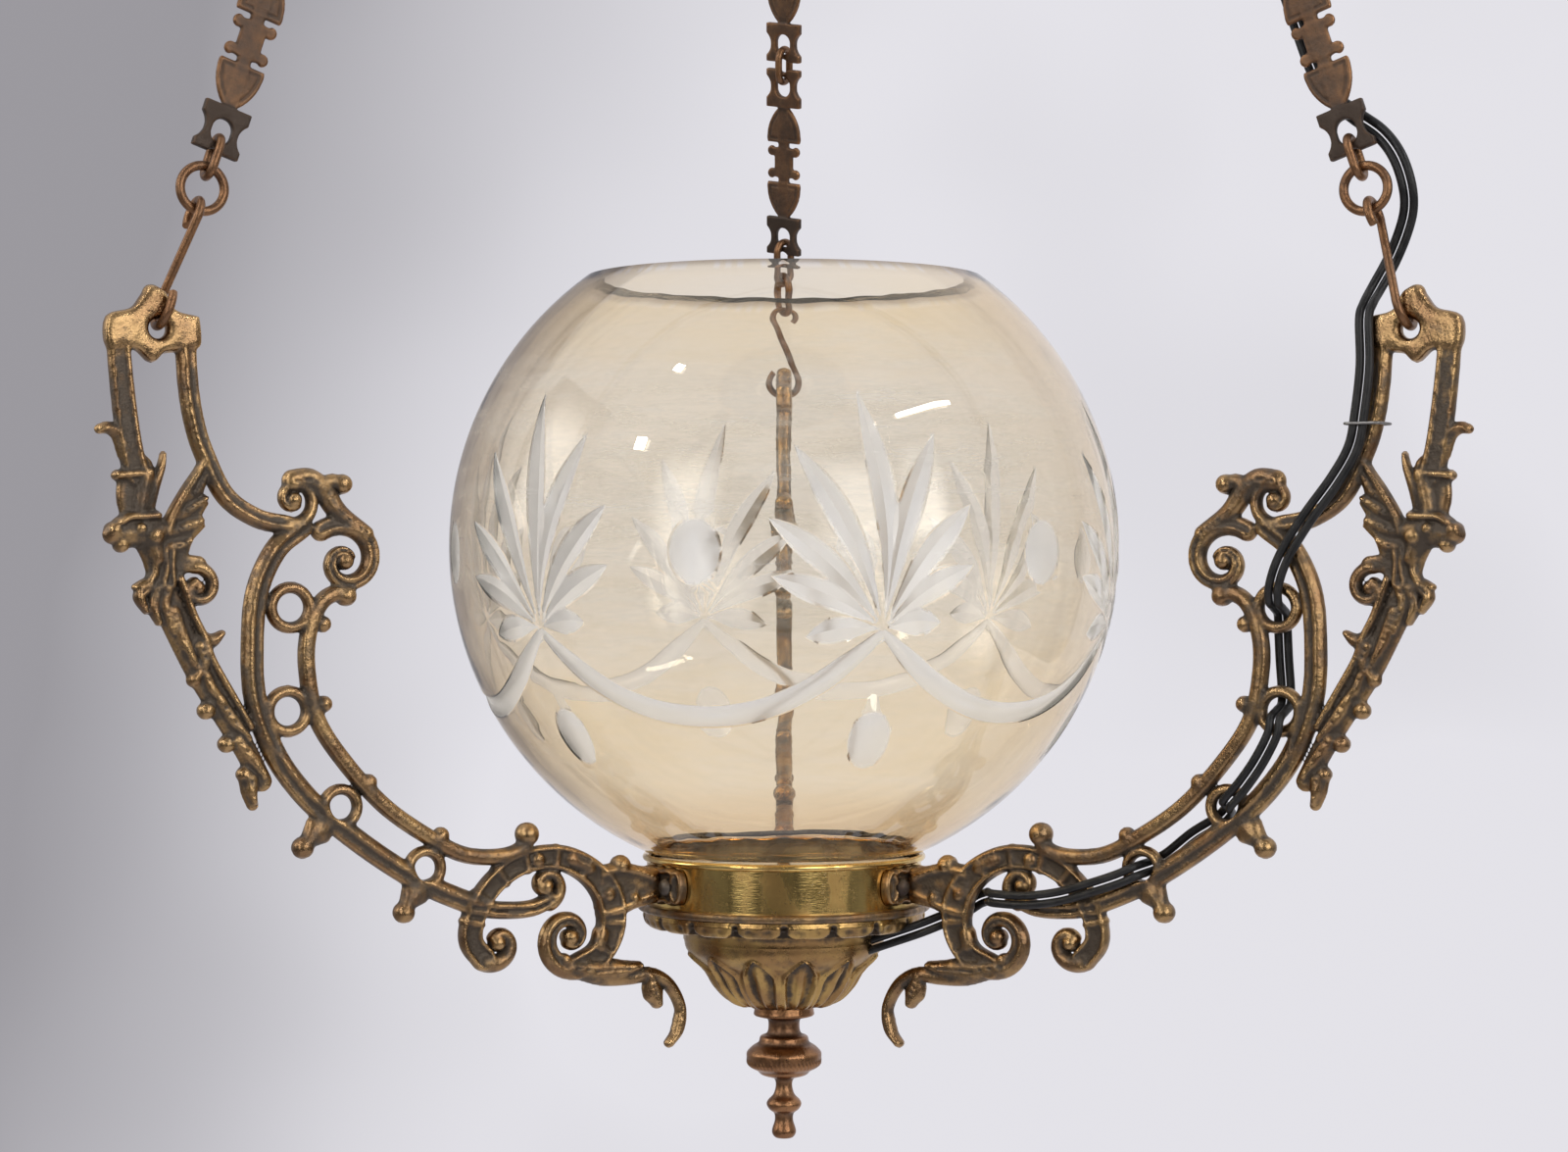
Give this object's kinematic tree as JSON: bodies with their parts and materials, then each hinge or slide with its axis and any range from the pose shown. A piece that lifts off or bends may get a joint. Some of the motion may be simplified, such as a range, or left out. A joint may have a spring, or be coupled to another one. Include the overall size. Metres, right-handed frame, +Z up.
{
  "type": "ceiling lantern",
  "caption": "Hall lantern of cast openwork scroll arms round a clear cut-glass globe, hung from fretted plate chains at a crown, with a lampholder in the globe's foot.",
  "frame": {"origin": "centre of the ceiling plate's flat face, which lies on the ceiling", "axes": "+Z up, out of the flat face; -Y towards the front, with one arm at the rear, over +Y, and the other two in front, to the left and the right"},
  "size_m": [0.4664, 0.4039, 1.0391],
  "materials": {
    "cast_brass": "cast, dark patina in the recesses, worn bright on the ribs",
    "bright_brass": "polished, lightly specked",
    "yellow_brass": "worn satin",
    "copper_brown": "copper-brown patina",
    "dark_screw": "darkened",
    "plain_steel": "dull",
    "grey_tin": "dull tinplate",
    "porcelain": "glazed porcelain",
    "seat_ring": "felt",
    "black_wire": "satin insulation",
    "globe_glass": "clear with an amber wash, cut pattern"
  },
  "bodies": {
    "ceiling": {"ceiling_plate": "cast_brass", "ceiling_hook": "copper_brown"},
    "hanger": {"hanger_ring": "copper_brown"},
    "swivel": {"swivel_eye": "copper_brown", "swivel_nut": "cast_brass"},
    "lantern": {"crown": "cast_brass", "connector_block": "porcelain", "connector_screw": "dark_screw", "left_arm": "cast_brass", "right_arm": "cast_brass", "rear_arm": "cast_brass", "arm_screws": "dark_screw", "gallery_band": "bright_brass", "globe_seat": "seat_ring", "flange_ring": "cast_brass", "petal_ring": "yellow_brass", "cup": "yellow_brass", "drip_pan": "grey_tin", "shade_ring": "porcelain", "holder_shell": "yellow_brass", "holder_cap": "yellow_brass", "holder_insulator": "porcelain", "holder_sleeve": "bright_brass", "holder_contact": "bright_brass", "nipple": "plain_steel", "lock_nut": "plain_steel", "wire_a": "black_wire", "wire_b": "black_wire", "wire_tie": "plain_steel", "left_upper_links": "copper_brown", "left_upper_plates": "copper_brown", "right_upper_links": "copper_brown", "right_upper_plates": "copper_brown", "rear_upper_links": "copper_brown", "rear_upper_plates": "copper_brown"},
    "globe": {"globe": "globe_glass"},
    "finial": {"finial": "copper_brown"},
    "left_s_hook": {"left_s_hook": "copper_brown"},
    "left_ring": {"left_ring": "copper_brown"},
    "left_link": {"left_link": "copper_brown"},
    "left_plate": {"left_plate": "copper_brown"},
    "right_s_hook": {"right_s_hook": "copper_brown"},
    "right_ring": {"right_ring": "copper_brown"},
    "right_link": {"right_link": "copper_brown"},
    "right_plate": {"right_plate": "copper_brown"},
    "rear_s_hook": {"rear_s_hook": "copper_brown"},
    "rear_ring": {"rear_ring": "copper_brown"},
    "rear_link": {"rear_link": "copper_brown"},
    "rear_plate": {"rear_plate": "copper_brown"}
  },
  "joints": [
    {"name": "hanger_swing", "type": "hinge", "parent": "ceiling", "child": "hanger", "pos_m": [0, 0, -0.047], "axis": [1, 0, 0], "range_deg": [-20, 20]},
    {"name": "swivel_swing", "type": "hinge", "parent": "hanger", "child": "swivel", "pos_m": [0, 0, -0.0682], "axis": [0, 1, 0], "range_deg": [-20, 20]},
    {"name": "lantern_turn", "type": "hinge", "parent": "swivel", "child": "lantern", "pos_m": [0, 0, -0.095], "axis": [0, 0, 1], "range_deg": [-180, 180]},
    {"name": "globe_lift", "type": "slide", "parent": "lantern", "child": "globe", "axis": [0, 0, 1], "range_m": [0, 0.06]},
    {"name": "finial_turn", "type": "hinge", "parent": "lantern", "child": "finial", "pos_m": [0, 0, -1], "axis": [0, 0, 1], "range_deg": [0, 360]},
    {"name": "left_s_hook_twist", "type": "hinge", "parent": "lantern", "child": "left_s_hook", "pos_m": [-0.21322, -0.1231, -0.74213], "axis": [0.2733, 0.1578, 0.9489], "range_deg": [-8, 8]},
    {"name": "left_ring_twist", "type": "hinge", "parent": "lantern", "child": "left_ring", "pos_m": [-0.21322, -0.1231, -0.74213], "axis": [0.2733, 0.1578, 0.9489], "range_deg": [-8, 8]},
    {"name": "left_link_twist", "type": "hinge", "parent": "lantern", "child": "left_link", "pos_m": [-0.21322, -0.1231, -0.74213], "axis": [0.2733, 0.1578, 0.9489], "range_deg": [-8, 8]},
    {"name": "left_plate_twist", "type": "hinge", "parent": "lantern", "child": "left_plate", "pos_m": [-0.21322, -0.1231, -0.74213], "axis": [0.2733, 0.1578, 0.9489], "range_deg": [-8, 8]},
    {"name": "right_s_hook_twist", "type": "hinge", "parent": "lantern", "child": "right_s_hook", "pos_m": [0.21322, -0.1231, -0.74213], "axis": [-0.2733, 0.1578, 0.9489], "range_deg": [-8, 8]},
    {"name": "right_ring_twist", "type": "hinge", "parent": "lantern", "child": "right_ring", "pos_m": [0.21322, -0.1231, -0.74213], "axis": [-0.2733, 0.1578, 0.9489], "range_deg": [-8, 8]},
    {"name": "right_link_twist", "type": "hinge", "parent": "lantern", "child": "right_link", "pos_m": [0.21322, -0.1231, -0.74213], "axis": [-0.2733, 0.1578, 0.9489], "range_deg": [-8, 8]},
    {"name": "right_plate_twist", "type": "hinge", "parent": "lantern", "child": "right_plate", "pos_m": [0.21322, -0.1231, -0.74213], "axis": [-0.2733, 0.1578, 0.9489], "range_deg": [-8, 8]},
    {"name": "rear_s_hook_twist", "type": "hinge", "parent": "lantern", "child": "rear_s_hook", "pos_m": [0, 0.2462, -0.74213], "axis": [0, -0.3156, 0.9489], "range_deg": [-8, 8]},
    {"name": "rear_ring_twist", "type": "hinge", "parent": "lantern", "child": "rear_ring", "pos_m": [0, 0.2462, -0.74213], "axis": [0, -0.3156, 0.9489], "range_deg": [-8, 8]},
    {"name": "rear_link_twist", "type": "hinge", "parent": "lantern", "child": "rear_link", "pos_m": [0, 0.2462, -0.74213], "axis": [0, -0.3156, 0.9489], "range_deg": [-8, 8]},
    {"name": "rear_plate_twist", "type": "hinge", "parent": "lantern", "child": "rear_plate", "pos_m": [0, 0.2462, -0.74213], "axis": [0, -0.3156, 0.9489], "range_deg": [-8, 8]}
  ]
}
